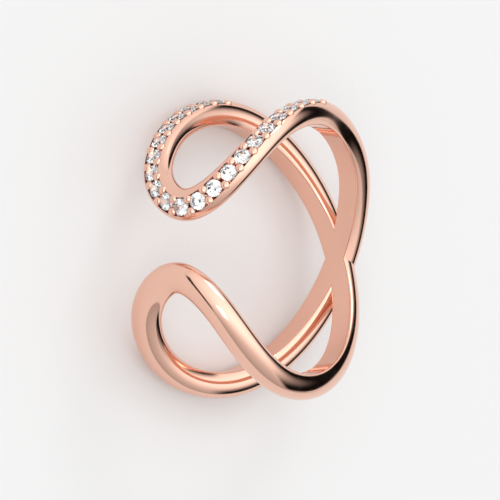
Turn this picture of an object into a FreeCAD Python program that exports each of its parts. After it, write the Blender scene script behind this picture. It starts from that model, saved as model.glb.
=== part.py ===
import FreeCAD
import Part
import math
import os
from FreeCAD import Placement, Rotation, Vector

# An open finger ring shaped as one infinity sign that is wrapped round the finger.
# One wire crosses itself at the back of the finger and runs round both sides in two long
# lobes, which end in loops either side of a gap at the front. The stone lobe has a channel
# along its crown with a row of round brilliants in turned seats, and the plain lobe is bare.
#
# Ring frame: Z is the finger's axis, +Y the back crossing, -Y the gap, -X the stone lobe
# and +X the plain lobe. The near rim is at +Z. The ring rests on its far rim, tipped a
# little towards the back, so everything is placed from the ring frame into the rest frame,
# whose floor is z = 0.

# Driving dimensions in mm and degrees: alias, value, what it is.
SIZES = (
    ("inner_radius", 8.6, "radius of the finger hole"),
    ("wire_half_width_back", 1.0, "half width of the wire at the back"),
    ("wire_half_width_front", 1.1, "half width of the wire in the front loops"),
    ("wire_rise_back", 1.15, "crown above the wire's centre at the back"),
    ("wire_rise_front", 0.95, "crown above the wire's centre in the front loops"),
    ("wire_centre_back", 0.75, "wire's centre above the finger hole at the back"),
    ("wire_centre_front", 0.65, "wire's centre above the finger hole in front"),
    ("front_starts", 60.0, "angle from the back where the wire starts to widen"),
    ("front_reached", 150.0, "angle from the back where the wire has its front size"),
    ("stone_tip_angle", 165.4, "angle of the stone lobe's loop end"),
    ("stone_tip_height", 0.45, "its distance above the mid plane"),
    ("plain_tip_angle", 163.4, "angle of the plain lobe's loop end"),
    ("plain_tip_height", -0.15, "its distance above the mid plane"),
    ("stone_count", 21, "brilliants in the row"),
    ("stone_radius", 0.61, "girdle radius of a brilliant"),
    ("stone_crown", 0.19, "table above the girdle"),
    ("stone_girdle", 0.04, "thickness of the girdle"),
    ("stone_pavilion", 0.52, "culet below the girdle"),
    ("stone_table", 0.35, "radius of the table's corners"),
    ("stone_sink", 0.2, "girdle below the crown of the wire"),
    ("stone_gap", 0.025, "air between a stone and the metal"),
    ("row_far_angle", 94.5, "angle of the first stone, on the far rim"),
    ("row_near_angle", 94.8, "angle of the last stone, on the near rim"),
    ("channel_half_width", 0.66, "half width of the stone channel"),
    ("channel_depth", 0.45, "depth of the channel below the crown"),
    ("channel_over", 1.5, "channel beyond the centre of the end stones"),
    ("channel_point", 1.1, "length over which the channel runs to a point"),
    ("rest_tilt", 10.0, "tip of the ring's axis when it lies on its side"),
    ("rest_height", 5.063, "ring centre above the floor"),
    ("rest_shift", -0.26, "ring centre along Y in the rest frame"),
)

# The four strands: angle round the finger from the back crossing, and the distance of each
# strand's middle from the ring's mid plane.
# angle, stone_near, stone_far, plain_near, plain_far
STRANDS = (
    (20, 1.20, 1.15, 1.20, 1.20),
    (40, 2.35, 2.30, 2.25, 2.25),
    (60, 3.15, 3.20, 3.10, 3.10),
    (80, 3.85, 3.80, 3.65, 3.80),
    (100, 4.40, 4.10, 3.90, 4.40),
    (120, 4.60, 4.15, 3.95, 4.60),
    (140, 4.20, 3.65, 3.45, 4.05),
    (154, 3.15, 2.70, 2.30, 2.85),
)

# The route is counted in turns: 0 and 4 the crossing, 1 the stone loop's end, 2 the
# crossing again and 3 the plain loop's end.
# turn, sideways lean of the crown for each mm of height
LEANS = (
    (0.0, -0.05), (0.3, -0.10), (0.65, -0.10), (1.0, 0.12), (1.4, 0.10), (1.7, 0.0),
    (2.0, -0.20), (2.35, -0.10), (2.65, -0.10), (3.0, 0.05), (3.4, -0.05), (3.7, -0.05),
    (4.0, -0.05),
)

# turn, tilt of the stone row towards the rim side, in degrees round the wire's centre
STONE_TILTS = (
    (0.45, 0.0), (0.58, 1.0), (0.70, 10.0), (0.80, 20.0), (0.90, 28.0), (1.0, 32.0),
    (1.08, 22.0), (1.16, 12.0), (1.27, 6.0), (1.4, 0.0), (1.55, 0.0),
)

STONE_TIP = 1
CROSSING = 2
PLAIN_TIP = 3
LAST_CROSSING = 4
TUBE_SECTIONS = 30
SECTION_POINTS = 16
CHANNEL_LINKS = 44
LINK_OVERLAP = 0.05
CHANNEL_RIM = 0.6
CHANNEL_TIP_WIDTH = 0.08
ROW_SAMPLES = 300
ROW_TURN_PER_MM = 0.04
BISECTIONS = 40
SEAT_BOTTOM_AIR = 0.03
SEAT_BOTTOM_RADIUS = 0.06
SEAT_ABOVE_FLOOR = 0.08
SEAT_PROBES = (0.32, 0.45, 0.55)
PROBE_TOLERANCE = 1e-5
STAR_SPREAD = 1.02
LOWER_HALF_REACH = 0.25
BORE_LENGTH = 30.0
CROWN_STEP = 0.001
TABLE_CORNERS = 8

doc = FreeCAD.newDocument("infinity_ring")


def make_sheet():
    """The spreadsheet that holds the driving dimensions, one alias a row."""
    sizes = doc.addObject("Spreadsheet::Sheet", "Sizes")
    for row, (alias, value, note) in enumerate(SIZES, 1):
        sizes.set("A%d" % row, note)
        sizes.set("B%d" % row, str(value))
        sizes.setAlias("B%d" % row, alias)
    doc.recompute()
    return sizes


sheet = make_sheet()


def size(alias):
    return float(sheet.get(alias))


radius = size("inner_radius")
rest = Placement(
    Vector(0, size("rest_shift"), size("rest_height")),
    Rotation(Vector(1, 0, 0), -size("rest_tilt")),
)


def through_stops(stops, x):
    """A smooth value through a table of (x, value) stops, level outside the table."""
    if x <= stops[0][0]:
        return stops[0][1]
    if x >= stops[-1][0]:
        return stops[-1][1]
    last = len(stops) - 1
    i = max(k for k in range(last) if stops[k][0] <= x)

    def slope(k):
        before = stops[max(k - 1, 0)]
        after = stops[min(k + 1, last)]
        return (after[1] - before[1]) / (after[0] - before[0])

    x0, y0 = stops[i]
    x1, y1 = stops[i + 1]
    gap = x1 - x0
    w = (x - x0) / gap
    start = (1 + 2 * w) * (1 - w) ** 2 * y0 + w * (1 - w) ** 2 * gap * slope(i)
    end = w * w * (3 - 2 * w) * y1 + w * w * (w - 1) * gap * slope(i + 1)
    return start + end


def route_points():
    """Points of the unrolled infinity sign, round the finger and along its axis."""
    def at(side, angle, height):
        return Vector(side * radius * math.radians(angle), height, 0)

    stone_tip = at(-1, size("stone_tip_angle"), size("stone_tip_height"))
    plain_tip = at(1, size("plain_tip_angle"), size("plain_tip_height"))
    points = [Vector(0, 0, 0)]
    points += [at(-1, row[0], row[1]) for row in STRANDS]
    points += [stone_tip]
    points += [at(-1, row[0], -row[2]) for row in reversed(STRANDS)]
    points += [Vector(0, 0, 0)]
    points += [at(1, row[0], row[3]) for row in STRANDS]
    points += [plain_tip]
    points += [at(1, row[0], -row[4]) for row in reversed(STRANDS)]
    return points


def chord_sums(points):
    sums = [0.0]
    for a, b in zip(points, points[1:] + points[:1]):
        sums.append(sums[-1] + a.distanceToPoint(b))
    return sums


points = route_points()
knots = chord_sums(points)
route = Part.BSplineCurve()
route.interpolate(Points=points, Parameters=knots, PeriodicFlag=True)
per_turn = len(STRANDS) + 1


def knot_of(turn):
    """The route's parameter at a turn, which may lie between two table rows."""
    place = (turn % LAST_CROSSING) * per_turn
    i = int(place)
    return knots[i] + (place - i) * (knots[i + 1] - knots[i])


class Station:
    """The wire's frame at one place of the route, in the ring frame."""

    def __init__(self, turn):
        parameter = knot_of(turn)
        flat = route.value(parameter)
        run = route.getD1(parameter)[1]
        angle = flat.x / radius
        around = Vector(math.cos(angle), -math.sin(angle), 0)
        self.turn = turn % LAST_CROSSING
        self.out = Vector(math.sin(angle), math.cos(angle), 0)
        self.foot = self.out * radius + Vector(0, 0, flat.y)
        self.along = (around * run.x + Vector(0, 0, run.y)).normalize()
        self.side = self.along.cross(self.out)
        self.lean = through_stops(LEANS, self.turn)
        first = size("front_starts")
        w = (abs(math.degrees(angle)) - first) / (size("front_reached") - first)
        w = min(max(w, 0), 1)
        w = w * w * (3 - 2 * w)
        self.half = self.between("wire_half_width", w)
        self.rise = self.between("wire_rise", w)
        self.centre = self.between("wire_centre", w)

    def between(self, name, w):
        return (1 - w) * size(name + "_back") + w * size(name + "_front")

    def point(self, across, up):
        """A point of the section plane, across the wire and up from the finger hole."""
        return self.foot + self.side * (across + self.lean * up) + self.out * up

    def rim_point(self, angle):
        """A point of the wire's oval outline, 90 degrees at its crown."""
        across = self.half * math.cos(angle)
        up = self.centre + self.rise * math.sin(angle)
        return self.point(across, up)

    def crown(self):
        """The stone row's place on the crown, its outward normal and its cross direction."""
        angle = math.radians(90 + through_stops(STONE_TILTS, self.turn))
        here = self.rim_point(angle)
        cross = (self.rim_point(angle - CROWN_STEP) - here).normalize()
        return here, self.along.cross(cross) * -1, cross


def resting(vector):
    return rest.multVec(vector)


def section_wire(station):
    """The wire's oval section, a little of it below the finger hole's wall."""
    outline = [
        resting(station.rim_point(2 * math.pi * k / SECTION_POINTS + math.pi / 2))
        for k in range(SECTION_POINTS)
    ]
    curve = Part.BSplineCurve()
    curve.interpolate(Points=outline, PeriodicFlag=True)
    return Part.Wire([curve.toShape()])


def tube(name, first, last):
    """The wire from one turn of the route to another."""
    steps = [first + (last - first) * k / (TUBE_SECTIONS - 1) for k in range(TUBE_SECTIONS)]
    feature = doc.addObject("Part::Feature", name)
    feature.Label = name
    feature.Shape = Part.makeLoft([section_wire(Station(s)) for s in steps], True, False)
    return feature


def turn_at(angle, near_back, near_tip):
    """The turn between two others where the wire is at an angle from the back."""
    for _ in range(BISECTIONS):
        middle = (near_back + near_tip) / 2
        reached = math.degrees(abs(route.value(knot_of(middle)).x) / radius)
        if reached < angle:
            near_back = middle
        else:
            near_tip = middle
    return (near_back + near_tip) / 2


def row_places():
    """Turns along the stone row with the running length of the row at each of them."""
    start = turn_at(size("row_near_angle"), 0, STONE_TIP)
    end = turn_at(size("row_far_angle"), CROSSING, STONE_TIP)
    ends_add = size("channel_over") * ROW_TURN_PER_MM
    first = start - ends_add
    turns = [first + (end + ends_add - first) * k / ROW_SAMPLES for k in range(ROW_SAMPLES + 1)]
    crowns = [Station(t).crown()[0] for t in turns]
    lengths = [0.0]
    for a, b in zip(crowns, crowns[1:]):
        lengths.append(lengths[-1] + a.distanceToPoint(b))
    offset = length_at(turns, lengths, start)
    return turns, [value - offset for value in lengths], length_at(turns, lengths, end) - offset


def length_at(turns, lengths, turn):
    i = max(k for k in range(len(turns) - 1) if turns[k] <= turn)
    w = (turn - turns[i]) / (turns[i + 1] - turns[i])
    return lengths[i] + w * (lengths[i + 1] - lengths[i])


def turn_of_length(length):
    """The turn at a running length of the stone row, 0 being the near end stone."""
    return length_at(row_lengths, row_turns, length)


row_turns, row_lengths, row_length = row_places()
stone_pitch = row_length / (size("stone_count") - 1)


def channel_half_width(place):
    """Half width of the channel, which runs to a point beyond both end stones."""
    end = size("channel_over")
    from_end = min(place + end, row_length + end - place)
    w = min(from_end / size("channel_point"), 1)
    return size("channel_half_width") * max(w, CHANNEL_TIP_WIDTH)


def channel_link(start, end):
    """One straight link of the channel, a prism that overlaps the links beside it."""
    stations = [Station(turn_of_length(place)).crown() for place in (start, end)]
    up = (stations[0][1] + stations[1][1]).normalize()
    middle = (stations[0][0] + stations[1][0]) / 2 - up * size("channel_depth")
    along = (stations[1][0] - stations[0][0]).normalize()
    corners = []
    for (here, _, cross), place, reach, sign in (
        (stations[0], start, -LINK_OVERLAP, 1),
        (stations[0], start, -LINK_OVERLAP, -1),
        (stations[1], end, LINK_OVERLAP, -1),
        (stations[1], end, LINK_OVERLAP, 1),
    ):
        corner = here + cross * sign * channel_half_width(place) + along * reach
        corner = corner - up * (corner - middle).dot(up)
        corners.append(resting(corner))
    face = Part.Face(Part.makePolygon(corners + corners[:1]))
    raised = up * (size("channel_depth") + CHANNEL_RIM)
    return face.extrude(rest.Rotation.multVec(raised))


def channel_cutter():
    """The channel's solid, a chain of links that follows the tilted crown."""
    total = row_length + 2 * size("channel_over")
    places = [total * k / CHANNEL_LINKS - size("channel_over") for k in range(CHANNEL_LINKS + 1)]
    links = [channel_link(a, b) for a, b in zip(places, places[1:])]
    feature = doc.addObject("Part::Feature", "channel_cutter")
    feature.Shape = links[0].multiFuse(links[1:])
    return feature


def stone_placement(index):
    """A stone's place, its table facing out and one corner of it along the wire."""
    from_near_end = int(size("stone_count")) - 1 - index
    station = Station(turn_of_length(from_near_end * stone_pitch))
    here, up, _ = station.crown()
    rotation = Rotation(station.along, up.cross(station.along), up, "ZXY")
    return rest.multiply(Placement(here - up * size("stone_sink"), rotation))


def turned(profile):
    """The solid that a half outline makes round its own Z axis."""
    face = Part.Face(Part.makePolygon(profile + profile[:1]))
    return face.revolve(Vector(0, 0, 0), Vector(0, 0, 1), 360)


def seat_cutters(places):
    """Turned seats that leave air round each stone.

    Along the row the channel is wider than a stone, so only a cone for the pavilion is cut
    through its floor. At both ends the channel narrows, and the seat is cut to full width.
    """
    gap = size("stone_gap")
    wide = size("stone_radius") + gap
    deep = size("stone_girdle") + size("stone_pavilion") + SEAT_BOTTOM_AIR
    low = -size("stone_girdle") - gap
    floor = size("stone_sink") - size("channel_depth")
    cone_top = floor + SEAT_ABOVE_FLOOR
    slope = (wide - SEAT_BOTTOM_RADIUS) / (deep + low)
    cone_width = SEAT_BOTTOM_RADIUS + slope * (deep + cone_top)
    bottom = [Vector(0, 0, -deep), Vector(SEAT_BOTTOM_RADIUS, 0, -deep)]
    cone = turned(bottom + [Vector(cone_width, 0, cone_top), Vector(0, 0, cone_top)])
    full = turned(bottom + [Vector(wide, 0, low), Vector(wide, 0, CHANNEL_RIM), Vector(0, 0, CHANNEL_RIM)])
    pockets = []
    for index, place in enumerate(places):
        at_end = index in (0, len(places) - 1)
        pocket = full.copy() if at_end else cone.copy()
        pocket.Placement = place
        pockets.append(pocket)
    feature = doc.addObject("Part::Feature", "seat_cutters")
    feature.Shape = Part.makeCompound(pockets)
    return feature


def brilliant_shape():
    """A round brilliant with its girdle's top at z = 0: table, stars, kites and mains."""
    outer = size("stone_radius")
    table = size("stone_table")
    crown = size("stone_crown")
    girdle = size("stone_girdle")
    depth = girdle + size("stone_pavilion")
    corner_step = 2 * math.pi / TABLE_CORNERS
    girdle_count = 2 * TABLE_CORNERS

    def ring(reach, height, count, shift=0.0):
        step = 2 * math.pi / count
        return [
            Vector(reach * math.cos(k * step + shift), reach * math.sin(k * step + shift), height)
            for k in range(count)
        ]

    half_step = math.cos(corner_step / 2)
    star_reach = (table + outer) / 2 * STAR_SPREAD
    star_height = crown * (outer - star_reach * half_step) / (outer - table)
    low_reach = outer * LOWER_HALF_REACH
    low_height = -girdle - size("stone_pavilion") * (1 - low_reach * half_step / outer)
    corners = ring(table, crown, TABLE_CORNERS)
    stars = ring(star_reach, star_height, TABLE_CORNERS, corner_step / 2)
    top = ring(outer, 0, girdle_count)
    bottom = ring(outer, -girdle, girdle_count)
    lows = ring(low_reach, low_height, TABLE_CORNERS, corner_step / 2)
    culet = Vector(0, 0, -depth)
    facets = [corners]
    for k in range(TABLE_CORNERS):
        after = (k + 1) % TABLE_CORNERS
        a = 2 * k
        b = 2 * k + 1
        c = (2 * k + 2) % girdle_count
        facets.append([corners[k], stars[k], corners[after]])
        facets.append([corners[k], stars[k - 1], top[a], stars[k]])
        facets.append([stars[k], top[a], top[b]])
        facets.append([stars[k], top[b], top[c]])
        facets.append([top[a], bottom[a], bottom[b], top[b]])
        facets.append([top[b], bottom[b], bottom[c], top[c]])
        facets.append([bottom[a], lows[k], bottom[b]])
        facets.append([bottom[b], lows[k], bottom[c]])
        facets.append([bottom[a], lows[k - 1], culet, lows[k]])
    faces = [Part.Face(Part.makePolygon(f + f[:1])) for f in facets]
    solid = Part.Solid(Part.Shell(faces))
    if solid.Volume < 0:
        solid.reverse()
    return solid


def fused(name, shapes):
    feature = doc.addObject("Part::MultiFuse", name)
    feature.Refine = False
    feature.Shapes = shapes
    return feature


def cut_away(name, base, tool):
    feature = doc.addObject("Part::Cut", name)
    feature.Refine = False
    feature.Base = base
    feature.Tool = tool
    return feature


def finger_hole():
    """The finger's cylinder, with its seam turned to the gap in front."""
    hole = doc.addObject("Part::Cylinder", "finger_hole")
    hole.setExpression("Radius", "Sizes.inner_radius")
    hole.Height = BORE_LENGTH
    to_gap = Rotation(Vector(0, 0, 1), -90)
    hole.Placement = rest.multiply(Placement(Vector(0, 0, -BORE_LENGTH / 2), to_gap))
    return hole


def with_seats(channelled, cutters):
    """The band with its seats, cut in one step from a fresh copy of the channelled wire.

    A cut feature on the channelled wire itself left one seat closed and a stray shell in it.
    """
    doc.recompute()
    wire = Part.Shape()
    wire.importBrepFromString(channelled.Shape.exportBrepToString())
    band = doc.addObject("Part::Feature", "band")
    band.Shape = wire.cut(cutters.Shape)
    return band


def build_band(places):
    """The cast band: two tubes that cross at the back, bored, channelled and seated."""
    near = tube("stone_near_plain_far", PLAIN_TIP, LAST_CROSSING + STONE_TIP)
    far = tube("stone_far_plain_near", STONE_TIP, PLAIN_TIP)
    crossed = fused("crossed_wires", [near, far])
    bored = cut_away("bored", crossed, finger_hole())
    channelled = cut_away("channelled", bored, channel_cutter())
    return with_seats(channelled, seat_cutters(places))


def build_stones(places):
    """The row of brilliants, stone_01 at the row's far rim end."""
    brilliant = brilliant_shape()
    stones = []
    for index, place in enumerate(places, 1):
        stone = doc.addObject("Part::Feature", "stone_%02d" % index)
        stone.Shape = brilliant
        stone.Placement = place
        stones.append(stone)
    return stones


def check(obj):
    """Stops the build where a feature failed."""
    if "Invalid" in obj.State or "Error" in obj.State:
        raise RuntimeError("%s failed to build" % obj.Label)


def check_seats(band):
    """Stops the build where a seat isn't open to its bottom or a stray shell is left."""
    if len(band.Shells) != 1:
        raise RuntimeError("the band has %d shells" % len(band.Shells))
    for number, place in enumerate(stone_places, 1):
        for depth in SEAT_PROBES:
            probe = place.multVec(Vector(0, 0, -depth))
            if band.isInside(probe, PROBE_TOLERANCE, True):
                raise RuntimeError("the seat of stone %d is not open" % number)


def write_parts(pieces):
    """Writes each piece's solid to a file with the piece's name."""
    doc.recompute()
    for obj in doc.Objects:
        check(obj)
    check_seats(pieces[0].Shape)
    os.makedirs("parts", exist_ok=True)
    for piece in pieces:
        shape = piece.Shape
        if shape.isNull() or not shape.isValid() or len(shape.Solids) != 1:
            raise RuntimeError("%s is not one sound solid" % piece.Label)
        shape.exportStep("parts/%s.step" % piece.Label)
        box = shape.BoundBox
        print("%s volume %.3f" % (piece.Label, shape.Volume), box)


stone_places = [stone_placement(k) for k in range(int(size("stone_count")))]
write_parts([build_band(stone_places)] + build_stones(stone_places))
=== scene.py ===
import math

import bpy
import numpy as np
from mathutils import Matrix, Vector


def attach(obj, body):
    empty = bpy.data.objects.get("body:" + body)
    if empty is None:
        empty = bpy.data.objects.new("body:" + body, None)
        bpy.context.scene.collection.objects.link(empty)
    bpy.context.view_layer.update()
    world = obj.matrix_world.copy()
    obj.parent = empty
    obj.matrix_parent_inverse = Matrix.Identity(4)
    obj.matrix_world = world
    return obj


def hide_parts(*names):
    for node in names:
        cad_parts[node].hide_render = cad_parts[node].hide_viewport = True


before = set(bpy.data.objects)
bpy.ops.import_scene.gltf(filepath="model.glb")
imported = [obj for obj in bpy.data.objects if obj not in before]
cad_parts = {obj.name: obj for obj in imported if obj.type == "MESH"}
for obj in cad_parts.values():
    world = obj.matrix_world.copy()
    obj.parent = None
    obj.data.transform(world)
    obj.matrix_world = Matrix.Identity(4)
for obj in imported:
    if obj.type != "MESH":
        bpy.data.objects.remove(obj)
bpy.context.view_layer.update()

# The infinity ring lies on its far rim, tipped towards its back crossing. Its frame has Z
# along the finger, +Y at the back crossing, -Y at the open gap, -X at the stone lobe and +X
# at the plain lobe. Lengths are in mm until a mesh is made, and angles round the finger are in
# degrees from the back crossing.
MM = 0.001
INNER_RADIUS = 8.6

# The wire's half width, its rise and the height of its centre, each at the back and at the
# front, and the angles between which it changes from one to the other.
WIRE_HALF = (1.0, 1.1)
WIRE_RISE = (1.15, 0.95)
WIRE_CENTRE = (0.75, 0.65)
FRONT_STARTS = 60.0
FRONT_REACHED = 150.0

# Angle and height of the tip of each lobe.
STONE_TIP_AT = (165.4, 0.45)
PLAIN_TIP_AT = (163.4, -0.15)

# The stone row ends at these angles. Its channel runs past both end stones and narrows there.
STONE_COUNT = 21
ROW_FAR_ANGLE = 94.5
ROW_NEAR_ANGLE = 94.8
CHANNEL_HALF = 0.66
CHANNEL_FLOOR = 0.78
CHANNEL_OVER = 1.5
CHANNEL_POINT = 1.1
CHANNEL_TIP = 0.08

# The setting beads, which stand in pairs between the stones and are sunk below the crown.
BEAD_RADIUS = 0.33
BEAD_OFFSET = 0.43
BEAD_SINK = 0.24
BEAD_FLATTENED = 0.75
BEAD_SIDES = 20
BEAD_LEVELS = 12

# How the ring comes to rest on the floor.
REST_TILT = math.radians(10.0)
REST_HEIGHT = 5.063
REST_SHIFT = -0.26

# A place along the route is a turn: 0 and 2 at the crossing, 1 and 3 at the tips of the lobes.
STONE_TIP = 1
CROSSING = 2
LAST_CROSSING = 4

# Where the strands cross, one inner face stands this little above the other, fading out within
# a quarter of a turn.
CROSSING_STEP = 0.004
CROSSING_FADE = 4

# How finely the wire is drawn: stations along it and points on each part of its outline.
STATIONS = 960
ARC_POINTS = 20
FLOOR_POINTS = 9
INNER_POINTS = 8
EDGE_POINTS = 4
EDGE_ROUND = 0.13

# Steps and samples for finding the crown, the edges of the inner face and the stone row.
CROWN_STEP = 0.001
CROWN_REACH = 0.85
OUTLINE_SAMPLES = 161
BOTTOM_START = -0.7
BOTTOM_ROUNDS = 8
ROW_SAMPLES = 300
ROW_MARGIN = 0.2
ROW_TURN_PER_MM = 0.04

# Heights of the four strands at each angle, with those of the far strands counted downwards.
# angle, stone_near, stone_far, plain_near, plain_far
STRANDS = (
    (20, 1.20, 1.15, 1.20, 1.20),
    (40, 2.35, 2.30, 2.25, 2.25),
    (60, 3.15, 3.20, 3.10, 3.10),
    (80, 3.85, 3.80, 3.65, 3.80),
    (100, 4.40, 4.10, 3.90, 4.40),
    (120, 4.60, 4.15, 3.95, 4.60),
    (140, 4.20, 3.65, 3.45, 4.05),
    (154, 3.15, 2.70, 2.30, 2.85),
)

# turn, sideways lean of the crown for each mm of height
LEANS = (
    (0.0, -0.05), (0.3, -0.10), (0.65, -0.10), (1.0, 0.12), (1.4, 0.10), (1.7, 0.0),
    (2.0, -0.20), (2.35, -0.10), (2.65, -0.10), (3.0, 0.05), (3.4, -0.05), (3.7, -0.05),
    (4.0, -0.05),
)

# turn, tilt of the stone row towards the rim side, in degrees round the wire's centre
STONE_TILTS = (
    (0.45, 0.0), (0.58, 1.0), (0.70, 10.0), (0.80, 20.0), (0.90, 28.0), (1.0, 32.0),
    (1.08, 22.0), (1.16, 12.0), (1.27, 6.0), (1.4, 0.0), (1.55, 0.0),
)


def through_stops(stops, x):
    """A smooth value through a table of (x, value) stops, level outside the table."""
    if x <= stops[0][0]:
        return stops[0][1]
    if x >= stops[-1][0]:
        return stops[-1][1]
    last = len(stops) - 1
    i = max(k for k in range(last) if stops[k][0] <= x)

    def slope(k):
        before = stops[max(k - 1, 0)]
        after = stops[min(k + 1, last)]
        return (after[1] - before[1]) / (after[0] - before[0])

    x0, y0 = stops[i]
    x1, y1 = stops[i + 1]
    gap = x1 - x0
    w = (x - x0) / gap
    start = (1 + 2 * w) * (1 - w) ** 2 * y0 + w * (1 - w) ** 2 * gap * slope(i)
    end = w * w * (3 - 2 * w) * y1 + w * w * (w - 1) * gap * slope(i + 1)
    return start + end


def smooth(w):
    """A share from 0 to 1 that starts and ends gently."""
    w = min(max(w, 0.0), 1.0)
    return w * w * (3 - 2 * w)


class Route:
    """The unrolled infinity sign, a closed smooth line round the finger and along its axis."""

    def __init__(self):
        def at(side, angle, height):
            """A point of the unrolled sheet, with side -1 for the stone lobe."""
            return (side * INNER_RADIUS * math.radians(angle), height)

        points = [(0.0, 0.0)]
        points += [at(-1, row[0], row[1]) for row in STRANDS]
        points += [at(-1, *STONE_TIP_AT)]
        points += [at(-1, row[0], -row[2]) for row in reversed(STRANDS)]
        points += [(0.0, 0.0)]
        points += [at(1, row[0], row[3]) for row in STRANDS]
        points += [at(1, *PLAIN_TIP_AT)]
        points += [at(1, row[0], -row[4]) for row in reversed(STRANDS)]
        self.points = np.array(points)
        self.next = np.roll(self.points, -1, axis=0)
        self.gaps = np.linalg.norm(self.next - self.points, axis=1)
        self.bends = self.solve_bends()
        self.per_turn = len(STRANDS) + 1

    def solve_bends(self):
        """Second derivatives that make the closed line's curvature run on."""
        count = len(self.points)
        rises = (self.next - self.points) / self.gaps[:, None]
        system = np.zeros((count, count))
        for i in range(count):
            before = self.gaps[i - 1]
            after = self.gaps[i]
            system[i, i - 1] += before
            system[i, i] += 2 * (before + after)
            system[i, (i + 1) % count] += after
        return np.linalg.solve(system, 6 * (rises - np.roll(rises, 1, axis=0)))

    def at(self, turn):
        """The line's point and direction at a turn."""
        place = (turn % LAST_CROSSING) * self.per_turn
        i = int(place)
        j = (i + 1) % len(self.points)
        gap = self.gaps[i]
        b = place - i
        a = 1 - b
        here = a * self.points[i] + b * self.points[j]
        here = here + gap ** 2 / 6 * ((a ** 3 - a) * self.bends[i] + (b ** 3 - b) * self.bends[j])
        run = (self.points[j] - self.points[i]) / gap
        run = run + gap / 6 * ((3 * b * b - 1) * self.bends[j] - (3 * a * a - 1) * self.bends[i])
        return here, run


route = Route()


class Station:
    """The wire's frame at one place of the route, in the ring frame."""

    def __init__(self, turn):
        flat, run = route.at(turn)
        angle = flat[0] / INNER_RADIUS
        self.turn = turn % LAST_CROSSING
        self.angle = math.degrees(abs(angle))
        self.around = np.array((math.cos(angle), -math.sin(angle), 0.0))
        self.out = np.array((math.sin(angle), math.cos(angle), 0.0))
        self.foot = self.out * INNER_RADIUS + np.array((0.0, 0.0, flat[1]))
        along = self.around * run[0] + np.array((0.0, 0.0, run[1]))
        self.along = along / np.linalg.norm(along)
        self.side = np.cross(self.along, self.out)
        self.lean = through_stops(LEANS, self.turn)
        w = smooth((self.angle - FRONT_STARTS) / (FRONT_REACHED - FRONT_STARTS))
        self.half, self.rise, self.centre = (
            (1 - w) * back + w * front for back, front in (WIRE_HALF, WIRE_RISE, WIRE_CENTRE)
        )
        near_crossing = smooth(1 - CROSSING_FADE * abs(self.turn - CROSSING))
        self.wall = CROSSING_STEP * near_crossing

    def point(self, across, up):
        """A point of the wire, across it and up from the finger's surface."""
        sideways = np.asarray(across) + self.lean * np.asarray(up)
        return self.foot + np.multiply.outer(sideways, self.side) + np.multiply.outer(up, self.out)

    def rim_point(self, angle):
        """A point of the wire's oval outline, with the crown at a quarter turn."""
        return self.point(self.half * np.cos(angle), self.centre + self.rise * np.sin(angle))

    def wall_height(self, across):
        """Height of the finger hole's wall, which curves away under the wire's sides."""
        sideways = np.asarray(across) * np.dot(self.side, self.around)
        return np.sqrt(INNER_RADIUS ** 2 - sideways ** 2) - INNER_RADIUS + self.wall

    def crown(self):
        """The crown under the stones, the way out of it and the way across it."""
        angle = math.radians(90 + through_stops(STONE_TILTS, self.turn))
        here = self.rim_point(angle)
        cross = self.rim_point(angle - CROWN_STEP) - here
        cross = cross / np.linalg.norm(cross)
        return here, -np.cross(self.along, cross), cross

    def crown_angles(self):
        """Outline angles near the crown, where the outline runs steadily across it."""
        angle = math.radians(90 + through_stops(STONE_TILTS, self.turn))
        return np.linspace(angle - CROWN_REACH, angle + CROWN_REACH, OUTLINE_SAMPLES)

    def bottom_angles(self):
        """Outline angles where the oval meets the finger hole's wall, right side then left."""
        ends = []
        for sign in (1, -1):
            angle = BOTTOM_START
            for _ in range(BOTTOM_ROUNDS):
                height = self.wall_height(sign * self.half * math.cos(angle))
                angle = math.asin((height - self.centre) / self.rise)
            ends.append(angle if sign > 0 else math.pi - angle)
        return ends


class StoneRow:
    """The row of stones along the crown, measured from the stone at the near end."""

    def __init__(self):
        turns = np.linspace(ROW_MARGIN, CROSSING - ROW_MARGIN, ROW_SAMPLES)
        angles = np.array([Station(t).angle for t in turns])
        rising = turns <= STONE_TIP
        start = np.interp(ROW_NEAR_ANGLE, angles[rising], turns[rising])
        end = np.interp(ROW_FAR_ANGLE, angles[~rising][::-1], turns[~rising][::-1])
        margin = CHANNEL_OVER * ROW_TURN_PER_MM
        self.turns = np.linspace(start - margin, end + margin, ROW_SAMPLES + 1)
        crowns = np.array([Station(t).crown()[0] for t in self.turns])
        steps = np.linalg.norm(np.diff(crowns, axis=0), axis=1)
        lengths = np.concatenate(([0.0], np.cumsum(steps)))
        self.lengths = lengths - np.interp(start, self.turns, lengths)
        self.length = float(np.interp(end, self.turns, self.lengths))
        self.pitch = self.length / (STONE_COUNT - 1)

    def station(self, place):
        """The station at a length along the row."""
        return Station(float(np.interp(place, self.lengths, self.turns)))

    def channel(self, turn):
        """The channel's half width at a turn, and how much of its depth it has."""
        if not self.turns[0] < turn < self.turns[-1]:
            return CHANNEL_HALF * CHANNEL_TIP, 0.0
        place = float(np.interp(turn, self.turns, self.lengths))
        from_end = min(place, self.length - place) + CHANNEL_OVER
        width = min(max(from_end / CHANNEL_POINT, CHANNEL_TIP), 1)
        return CHANNEL_HALF * width, smooth(from_end / CHANNEL_POINT)


row = StoneRow()


def resting(points):
    """Points of the ring frame as the ring lies on the floor, in metres."""
    p = np.asarray(points)
    c = math.cos(REST_TILT)
    s = math.sin(REST_TILT)
    y = c * p[..., 1] + s * p[..., 2] + REST_SHIFT
    z = c * p[..., 2] - s * p[..., 1] + REST_HEIGHT
    return np.stack((p[..., 0], y, z), axis=-1) * MM


def rounded_corner(start, corner, end):
    """Points of a small rounded edge between two faces."""
    w = np.linspace(0, 1, EDGE_POINTS + 2)[1:-1, None]
    return (1 - w) ** 2 * start + 2 * w * (1 - w) * corner + w ** 2 * end


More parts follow.
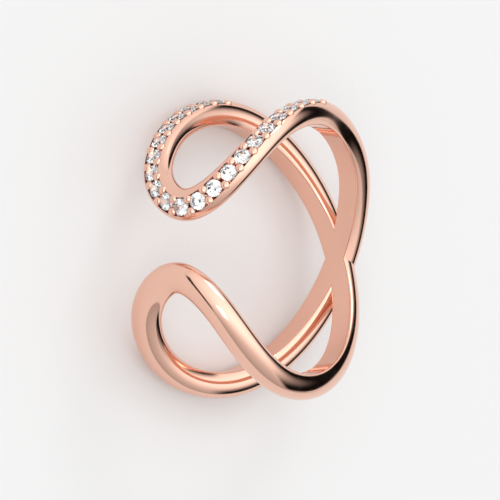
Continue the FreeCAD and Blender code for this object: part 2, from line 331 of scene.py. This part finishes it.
def section(station):
    """One closed outline: flank, channel, flank, rounded edge, inner face, rounded edge."""
    right, left = station.bottom_angles()
    half_width, depth = row.channel(station.turn)
    here, up, cross = station.crown()
    lean_in = EDGE_ROUND / station.half
    angles = station.crown_angles()
    across = (station.rim_point(angles) - here) @ cross
    first = np.interp(-half_width, -across, angles)
    last = np.interp(half_width, -across, angles)
    flank_a = station.rim_point(np.linspace(right + lean_in, first, ARC_POINTS))
    flank_b = station.rim_point(np.linspace(last, left - lean_in, ARC_POINTS))
    spread = np.linspace(half_width, -half_width, FLOOR_POINTS)
    floor = station.rim_point(np.interp(-spread, -across, angles))
    height = (floor - here) @ up
    drop = np.minimum(-CHANNEL_FLOOR - height, 0) * depth
    floor = floor + np.multiply.outer(drop, up)
    reach = [station.half * math.cos(a) for a in (left, right)]
    inset = [reach[0] + EDGE_ROUND, reach[1] - EDGE_ROUND]
    inner_across = np.linspace(inset[0], inset[1], INNER_POINTS)
    inner = station.point(inner_across, station.wall_height(inner_across))
    corner_left, corner_right = (station.rim_point(np.array([a]))[0] for a in (left, right))
    return np.vstack((
        flank_a, floor, flank_b,
        rounded_corner(flank_b[-1], corner_left, inner[0]), inner,
        rounded_corner(inner[-1], corner_right, flank_a[0]),
    ))


def make_object(name, verts, faces, material, smooth_angle):
    """A piece of one material, with sharp edges where faces meet at more than an angle."""
    mesh = bpy.data.meshes.new(name)
    mesh.from_pydata([tuple(v) for v in verts], [], [tuple(f) for f in faces])
    mesh.update()
    mesh.polygons.foreach_set("use_smooth", [True] * len(mesh.polygons))
    mesh.set_sharp_from_angle(angle=math.radians(smooth_angle))
    piece = bpy.data.objects.new(name, mesh)
    bpy.context.scene.collection.objects.link(piece)
    mesh.materials.append(material)
    return piece


def new_material(name):
    """A material and its shader."""
    material = bpy.data.materials.new(name)
    material.use_nodes = True
    return material, material.node_tree.nodes["Principled BSDF"]


def spots(tree, scale, detail):
    """Soft uneven spots over a surface, as a value from 0 to 1."""
    place = tree.nodes.new("ShaderNodeTexCoord")
    texture = tree.nodes.new("ShaderNodeTexNoise")
    texture.inputs["Scale"].default_value = scale
    texture.inputs["Detail"].default_value = detail
    tree.links.new(place.outputs["Object"], texture.inputs["Vector"])
    return texture.outputs["Fac"]


def ramp(tree, source, low, high):
    """A colour that runs from one to another as the source rises."""
    stops = tree.nodes.new("ShaderNodeValToRGB")
    stops.color_ramp.elements[0].color = low
    stops.color_ramp.elements[1].color = high
    tree.links.new(source, stops.inputs["Fac"])
    return stops.outputs["Color"]


def grey(level):
    return (level, level, level, 1)


# Rose gold. Each kind of spot has a scale and a detail.
GOLD_LOW = (0.87, 0.515, 0.395, 1)
GOLD_HIGH = (0.90, 0.555, 0.435, 1)
GOLD_ROUGHNESS = (0.05, 0.13)
TONE_SPOTS = (300.0, 2.0)
WEAR_SPOTS = (900.0, 4.0)
BUMP_SPOTS = (1500.0, 3.0)
BUMP_STRENGTH = 0.03
BUMP_HEIGHT = 0.00003


def rose_gold():
    """Polished rose gold with faint unevenness from casting and polishing."""
    material, shader = new_material("rose_gold_polish")
    tree = material.node_tree
    shader.inputs["Metallic"].default_value = 1.0
    colour = ramp(tree, spots(tree, *TONE_SPOTS), GOLD_LOW, GOLD_HIGH)
    tree.links.new(colour, shader.inputs["Base Color"])
    low, high = GOLD_ROUGHNESS
    gloss = ramp(tree, spots(tree, *WEAR_SPOTS), grey(low), grey(high))
    tree.links.new(gloss, shader.inputs["Roughness"])
    bump = tree.nodes.new("ShaderNodeBump")
    bump.inputs["Strength"].default_value = BUMP_STRENGTH
    bump.inputs["Distance"].default_value = BUMP_HEIGHT
    tree.links.new(spots(tree, *BUMP_SPOTS), bump.inputs["Height"])
    tree.links.new(bump.outputs["Normal"], shader.inputs["Normal"])
    return material


# Clear stone, with spots of a slightly cooler tone.
STONE_LOW = (0.93, 0.95, 0.97, 1)
STONE_HIGH = (1.0, 1.0, 1.0, 1)
STONE_BENDING = 2.15
STONE_SPOTS = (1200.0, 2.0)


def clear_stone():
    """Cut clear stone, bright with strong breaks of light between its facets."""
    material, shader = new_material("clear_cut_stone")
    tree = material.node_tree
    shader.inputs["IOR"].default_value = STONE_BENDING
    shader.inputs["Transmission Weight"].default_value = 1.0
    shader.inputs["Roughness"].default_value = 0.0
    tint = ramp(tree, spots(tree, *STONE_SPOTS), STONE_LOW, STONE_HIGH)
    tree.links.new(tint, shader.inputs["Base Color"])
    return material


# Faces that meet at more than these angles, in degrees, show an edge.
BAND_SMOOTH = 50
BEAD_SMOOTH = 60
FLOOR_SMOOTH = 30


def band_piece(material):
    """The whole wire as one closed sweep, which crosses itself at the back."""
    rings = [section(Station(LAST_CROSSING * k / STATIONS)) for k in range(STATIONS)]
    count = len(rings[0])
    verts = resting(np.array(rings)).reshape(-1, 3)
    faces = []
    for i in range(STATIONS):
        here = i * count
        after = (i + 1) % STATIONS * count
        for j in range(count):
            k = (j + 1) % count
            faces.append((here + j, here + k, after + k, after + j))
    return make_object("band_polished", verts, faces, material, BAND_SMOOTH)


def bead(centre, up, cross):
    """A bead a little flattened on top, as rings of corners with a corner at each pole."""
    height = up * BEAD_RADIUS * BEAD_FLATTENED
    ahead = np.cross(up, cross)
    verts = [centre + height]
    for i in range(1, BEAD_LEVELS):
        polar = math.pi * i / BEAD_LEVELS
        flat = BEAD_RADIUS * math.sin(polar)
        for j in range(BEAD_SIDES):
            turn = 2 * math.pi * j / BEAD_SIDES
            sideways = cross * math.cos(turn) + ahead * math.sin(turn)
            verts.append(centre + sideways * flat + height * math.cos(polar))
    verts.append(centre - height)
    faces = []
    for j in range(BEAD_SIDES):
        k = (j + 1) % BEAD_SIDES
        faces.append((0, 1 + j, 1 + k))
        for i in range(BEAD_LEVELS - 2):
            a = 1 + i * BEAD_SIDES
            b = a + BEAD_SIDES
            faces.append((a + j, b + j, b + k, a + k))
        a = 1 + (BEAD_LEVELS - 2) * BEAD_SIDES
        faces.append((a + j, len(verts) - 1, a + k))
    return verts, faces


def bead_piece(material):
    """The setting beads, a pair in each gap between stones and beyond both end stones."""
    verts = []
    faces = []
    for gap in range(STONE_COUNT + 1):
        here, up, cross = row.station((gap - 0.5) * row.pitch).crown()
        for sign in (1, -1):
            centre = here + cross * sign * BEAD_OFFSET - up * BEAD_SINK
            bead_verts, bead_faces = bead(centre, up, cross)
            faces += [tuple(v + len(verts) for v in f) for f in bead_faces]
            verts += bead_verts
    return make_object("setting_beads", resting(np.array(verts)), faces, material, BEAD_SMOOTH)


# The camera keeps the photograph's angle to the ring and stays above the floor.
CAMERA_AZIMUTH = math.radians(3.96)
CAMERA_FROM_AXIS = math.radians(52.39)
CAMERA_ROLL = math.radians(-0.30)
CAMERA_DISTANCE = 468.0
PIXELS_PER_MM = 14.388
PICTURE_SIZE = 500.0
RING_CENTRE_PIXEL = (260.2, 249.2)
SENSOR_MM = 36.0
NEAREST_SEEN = 0.01


def camera():
    """The camera, far off along the photograph's line of sight."""
    towards = np.array((
        math.sin(CAMERA_AZIMUTH) * math.sin(CAMERA_FROM_AXIS),
        -math.cos(CAMERA_AZIMUTH) * math.sin(CAMERA_FROM_AXIS),
        math.cos(CAMERA_FROM_AXIS),
    ))
    r = np.cross((0, 0, 1), towards)
    r = r / np.linalg.norm(r)
    u = np.cross(towards, r)
    right = u * math.cos(CAMERA_ROLL) + r * math.sin(CAMERA_ROLL)
    down = r * math.cos(CAMERA_ROLL) - u * math.sin(CAMERA_ROLL)
    origin = resting(np.zeros(3))
    x_axis, y_axis, z_axis = ((resting(v) - origin) / MM for v in (right, -down, towards))
    eye = resting(towards * CAMERA_DISTANCE)
    data = bpy.data.cameras.new("photo_camera")
    data.sensor_width = SENSOR_MM
    data.lens = PIXELS_PER_MM * CAMERA_DISTANCE * SENSOR_MM / PICTURE_SIZE
    middle = PICTURE_SIZE / 2
    data.shift_x = (middle - RING_CENTRE_PIXEL[0]) / PICTURE_SIZE
    data.shift_y = (RING_CENTRE_PIXEL[1] - middle) / PICTURE_SIZE
    data.clip_start = NEAREST_SEEN
    holder = bpy.data.objects.new("photo_camera", data)
    rows = [[x_axis[i], y_axis[i], z_axis[i], eye[i]] for i in range(3)]
    holder.matrix_world = Matrix(rows + [[0, 0, 0, 1]])
    bpy.context.scene.collection.objects.link(holder)
    bpy.context.scene.camera = holder


# The floor reaches this far each way, in metres.
FLOOR_HALF = 1.5
FLOOR_TONE = 0.9
FLOOR_ROUGHNESS = 0.9
FLOOR_SHINE = 0.1


def floor_piece():
    """A plain pale floor."""
    material, shader = new_material("pale_floor")
    shader.inputs["Base Color"].default_value = grey(FLOOR_TONE)
    shader.inputs["Roughness"].default_value = FLOOR_ROUGHNESS
    shader.inputs["Specular IOR Level"].default_value = FLOOR_SHINE
    ways = ((-1, -1), (1, -1), (1, 1), (-1, 1))
    corners = [(x * FLOOR_HALF, y * FLOOR_HALF, 0) for x, y in ways]
    floor = make_object("floor", corners, [(0, 1, 2, 3)], material, FLOOR_SMOOTH)


# name, place and size in metres, power in watts
SOFT_BOXES = (
    ("soft_box_side", (-0.5, 0.1, 0.35), 0.25, 0.45),
    ("soft_box_front", (0.15, -0.45, 0.5), 0.2, 0.35),
)


def area_light(name, place, size, power):
    """A square soft box that faces the ring."""
    data = bpy.data.lights.new(name, "AREA")
    data.size = size
    data.energy = power
    light = bpy.data.objects.new(name, data)
    bpy.context.scene.collection.objects.link(light)
    light.location = place
    light.rotation_euler = (-Vector(place)).to_track_quat("-Z", "Y").to_euler()


# The room that the polish mirrors, with each height and depth a share of the whole way to the
# horizon or the zenith. A dark strip stands behind the ring and fades out upwards, and another
# stands low in front of it.
STRIP_LOW = 0.06
STRIP_HIGH = 0.70
STRIP_EDGE = 0.05
STRIP_FADE = 0.45
STRIP_BACK = 0.66
STRIP_DARK = 0.005
FRONT_LOW = -0.02
FRONT_HIGH = 0.16
FRONT_NEAR = -0.86

# The room is darker towards +X, down to SHADE of its light, and brighter overhead.
SHADE_STARTS = 0.05
SHADE_FULL = 0.85
SHADE = 0.55
ROOM_LIGHT = 0.86
ROOM_TOP = 1.75


def studio():
    """Even white surroundings, with strips and shade that show in polished surfaces only."""
    world = bpy.data.worlds.new("studio")
    bpy.context.scene.world = world
    world.use_nodes = True
    nodes = world.node_tree.nodes
    links = world.node_tree.links
    background = nodes["Background"]
    background.inputs["Color"].default_value = grey(1)
    place = nodes.new("ShaderNodeTexCoord")
    parts = nodes.new("ShaderNodeSeparateXYZ")
    links.new(place.outputs["Generated"], parts.inputs[0])
    way = parts.outputs

    def fade(source, start, end):
        """A gentle rise from 0 to 1 as the source goes from start to end."""
        step = nodes.new("ShaderNodeMapRange")
        step.interpolation_type = "SMOOTHSTEP"
        step.inputs["From Min"].default_value = start
        step.inputs["From Max"].default_value = end
        links.new(source, step.inputs["Value"])
        return step.outputs["Result"]

    def scaled(source, low, high):
        """A value from low to high as the source goes from 0 to 1."""
        line = nodes.new("ShaderNodeMapRange")
        line.inputs["To Min"].default_value = low
        line.inputs["To Max"].default_value = high
        links.new(source, line.inputs["Value"])
        return line.outputs["Result"]

    def joined(operation, a, b):
        result = nodes.new("ShaderNodeMath")
        result.operation = operation
        links.new(a, result.inputs[0])
        links.new(b, result.inputs[1])
        return result.outputs[0]

    def times(a, b):
        return joined("MULTIPLY", a, b)

    def strip(low, high, soft_top, depth):
        """A dark strip between two heights, where a depth is reached."""
        over = fade(way["Z"], low, low + STRIP_EDGE)
        under = fade(way["Z"], high, high - soft_top)
        return times(times(over, under), depth)

    behind = fade(way["Y"], STRIP_BACK - STRIP_EDGE, STRIP_BACK + STRIP_EDGE)
    before = fade(way["Y"], FRONT_NEAR + STRIP_EDGE, FRONT_NEAR - STRIP_EDGE)
    strips = joined(
        "MAXIMUM",
        strip(STRIP_LOW, STRIP_HIGH, STRIP_FADE, behind),
        strip(FRONT_LOW, FRONT_HIGH, STRIP_EDGE, before),
    )
    path = nodes.new("ShaderNodeLightPath")
    polished = scaled(path.outputs["Is Diffuse Ray"], 1.0, 0.0)
    overhead = scaled(times(way["Z"], polished), ROOM_LIGHT, ROOM_TOP)
    side = fade(way["X"], SHADE_STARTS, SHADE_FULL)
    shade = scaled(times(side, polished), 1.0, SHADE)
    level = nodes.new("ShaderNodeMix")
    links.new(times(strips, polished), level.inputs["Factor"])
    links.new(times(overhead, shade), level.inputs["A"])
    level.inputs["B"].default_value = STRIP_DARK
    links.new(level.outputs["Result"], background.inputs["Strength"])
    for soft_box in SOFT_BOXES:
        area_light(*soft_box)


gold = rose_gold()
band = band_piece(gold)
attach(band, "root")
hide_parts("band")
beads = bead_piece(gold)
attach(beads, "root")

stone_material = clear_stone()
for number in range(1, STONE_COUNT + 1):
    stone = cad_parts["stone_%02d" % number]
    for slot in stone.material_slots:
        slot.material = stone_material

floor_piece()
studio()
camera()
bpy.context.scene.view_settings.view_transform = "Standard"
